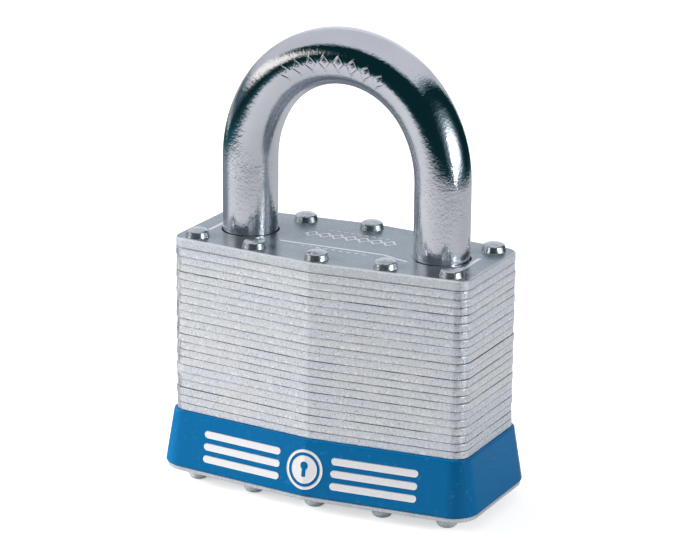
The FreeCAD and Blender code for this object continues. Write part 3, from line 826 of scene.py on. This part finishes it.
LIGHTS = (
    # name, azimuth, elevation, width, height, power, seen in the polished steel
    ("key_box", -112, 18, 0.6, 0.6, 18.1, False),
    ("fill_box", 78, 22, 0.6, 0.6, 5.0, False),
    ("side_strip", 103, 3, 0.2, 0.4, 1.1, True),
    ("front_box", 170, 25, 0.6, 0.6, 1.2, False),
)
ROOM_PATCHES = (
    # azimuth, elevation, half width, half height, softness, colour
    (92, 8, 34, 22, 0.45, (0.16, 0.24, 0.28)),
    (90, 8, 20, 12, 0.5, (1.7, 1.8, 1.9)),
    (-118, 15, 25, 8, 0.4, (1.1, 1.07, 1.02)),
    (-24, 14, 17, 20, 0.4, (0.78, 0.83, 0.88)),
    (-80, 2, 26, 6, 0.5, (0.06, 0.11, 0.13)),
)


def camera_axes(turn, tilt, roll):
    """Directions back, right and up of a camera with these angles."""
    level = math.cos(tilt)
    back = Vector((math.sin(turn)*level, -math.cos(turn)*level, math.sin(tilt)))
    right = (-back).cross(Vector((0, 0, 1))).normalized()
    up = right.cross(-back)
    rolled_right = right*math.cos(roll) + up*math.sin(roll)
    rolled_up = up*math.cos(roll) - right*math.sin(roll)
    return back, rolled_right, rolled_up


def make_camera():
    """A long lens, turned to the right of the front and a little above."""
    data = bpy.data.cameras.new("camera")
    data.lens = CAMERA_LENS
    data.sensor_width = 36.0
    data.clip_start = 0.02
    data.clip_end = 20
    camera = bpy.data.objects.new("camera", data)
    bpy.context.scene.collection.objects.link(camera)
    back, right, up = camera_axes(CAMERA_TURN, CAMERA_TILT, CAMERA_ROLL)
    turned = Matrix((right, up, back)).transposed().to_4x4()
    camera.matrix_world = Matrix.Translation(CAMERA_TARGET + back*CAMERA_DISTANCE) @ turned
    bpy.context.scene.camera = camera


def aim_at(azimuth, elevation):
    """Unit direction. Azimuth goes from +Y, behind the padlock, towards +X."""
    turn = math.radians(azimuth)
    tilt = math.radians(elevation)
    return Vector((math.sin(turn)*math.cos(tilt), math.cos(turn)*math.cos(tilt), math.sin(tilt)))


def room_patch(tree, direction, azimuth, elevation, wide, high, soft):
    """1 inside an oval patch of the room's walls and 0 outside. The direction is laid on
    the plane that touches the unit sphere at the patch's middle; wide and high are the
    oval's half sizes on it in degrees, and soft is the part of them over which it fades."""
    aim = aim_at(azimuth, elevation)
    sideways = aim.cross(Vector((0, 0, 1))).normalized()
    upward = sideways.cross(aim)
    ahead = calc(tree, "MAXIMUM", dot(tree, direction, aim), 0.001)
    squares = []
    for side, half in ((sideways, wide), (upward, high)):
        scale = 1/math.tan(math.radians(half))
        offset = calc(tree, "DIVIDE", times(tree, dot(tree, direction, side), scale), ahead)
        squares.append(calc(tree, "POWER", calc(tree, "ABSOLUTE", offset), 2.0))
    distance = calc(tree, "SQRT", calc(tree, "ADD", *squares))
    return smooth_range(tree, distance, 1 - soft, 1 + soft, 1.0, 0.0)


def seen_by_camera(tree):
    """1 where the camera looks straight at a surface, and 0 in a reflection of it."""
    return add_node(tree, "LightPath", {}).outputs["Is Camera Ray"]


def studio_world():
    """A pale room whose two walls on the camera's side are dark up to a ceiling line,
    with soft windows of light; polished steel picks all of it up."""
    world = bpy.data.worlds.new("studio")
    bpy.context.scene.world = world
    world.use_nodes = True
    tree = world.node_tree
    tree.nodes.clear()
    direction = add_node(tree, "TexCoord", {}).outputs["Generated"]
    across, along, height = split(tree, direction)
    upward = smooth_range(tree, height, -0.3, 0.6)
    room = mix_colour(tree, upward, (0.45, 0.46, 0.50), (0.58, 0.595, 0.65))
    nearest_wall = calc(tree, "MAXIMUM", across, times(tree, along, -1.0))
    below_ceiling = calc(tree, "SUBTRACT", times(tree, nearest_wall, 1.38), height)
    above_floor = smooth_range(tree, height, -0.19, -0.13)
    dusk = times(tree, smooth_range(tree, below_ceiling, -0.03, 0.07), above_floor)
    room = mix_colour(tree, dusk, room, (0.025, 0.135, 0.155))
    dark = times(tree, smooth_range(tree, below_ceiling, 0.03, 0.14), above_floor)
    room = mix_colour(tree, dark, room, (0.003, 0.020, 0.024))
    for azimuth, elevation, wide, high, soft, colour in ROOM_PATCHES:
        mask = room_patch(tree, direction, azimuth, elevation, wide, high, soft)
        room = mix_colour(tree, mask, room, colour)
    backdrop = mix_colour(tree, seen_by_camera(tree), room, (1.0, 1.0, 1.0))
    light = add_node(tree, "Background", {"Color": backdrop, "Strength": 1.0})
    add_node(tree, "OutputWorld", {"Surface": light.outputs[0]})


def area_light(name, azimuth, elevation, width, height, power, mirrored):
    """A soft box aimed at the middle of the object."""
    data = bpy.data.lights.new(name, "AREA")
    data.shape = "RECTANGLE"
    data.size, data.size_y = width, height
    data.energy = power
    lamp = bpy.data.objects.new(name, data)
    bpy.context.scene.collection.objects.link(lamp)
    aim = aim_at(azimuth, elevation)
    turned = aim.to_track_quat("Z", "Y").to_matrix().to_4x4()
    lamp.matrix_world = Matrix.Translation(LIGHTS_AIM + aim*LIGHT_DISTANCE) @ turned
    lamp.visible_glossy = mirrored
    lamp.visible_camera = False


def floor_finish():
    """Pale where the camera sees it. What the steel mirrors of it is greyer, darker at the
    left and dark teal far out."""
    material = bpy.data.materials.new("studio_floor")
    material.use_nodes = True
    tree = material.node_tree
    tree.nodes.clear()
    seen = seen_by_camera(tree)
    place = object_place(tree)
    outward = add_node(tree, "VectorMath", {0: place}, operation="NORMALIZE").outputs[0]
    left = smooth_range(tree, dot(tree, outward, aim_at(-63, 0)), 0.62, 0.9)
    tone = mix_colour(tree, left, (0.41, 0.41, 0.42), (0.13, 0.145, 0.165))
    reach = add_node(tree, "VectorMath", {0: place}, operation="LENGTH").outputs["Value"]
    far = smooth_range(tree, reach, 0.29, 0.335)
    tone = mix_colour(tree, far, tone, (0.006, 0.035, 0.042))
    tone = mix_colour(tree, seen, tone, (0.70, 0.70, 0.70))
    matt = add_node(tree, "BsdfDiffuse", {"Color": tone})
    lift = add_node(tree, "Emission", {"Strength": times(tree, seen, 0.55)})
    both = add_node(tree, "AddShader", {0: matt.outputs[0], 1: lift.outputs[0]})
    add_node(tree, "OutputMaterial", {"Surface": both.outputs[0]})
    return material


def studio_floor():
    """A round table top: points at r(cos a, sin a), with its innermost ring all but closed
    under the object."""
    angle = np.linspace(0, 2*math.pi, 97)[:-1, None]
    reach = np.array([0.0002, 0.1, FLOOR_RADIUS])
    flat = np.stack([reach*np.cos(angle), reach*np.sin(angle), 0*angle*reach], -1)
    quads = grid_quads(*flat.shape[:2], wrap_rows=True)[:, ::-1]
    floor = mesh_object("floor", flat.reshape(-1, 3), quads, floor_finish(), False)


def make_studio():
    """The camera, the room, the lights and the floor."""
    make_camera()
    studio_world()
    for light in LIGHTS:
        area_light(*light)
    studio_floor()
    bpy.context.scene.view_settings.view_transform = "Standard"


finish_cad_nodes()
top_plate_marks()
end_bead("end_bead_left", -1)
end_bead("end_bead_right", 1)
crown_marks()
bumper_sleeve()
bumper_emblem()
springs()
make_studio()
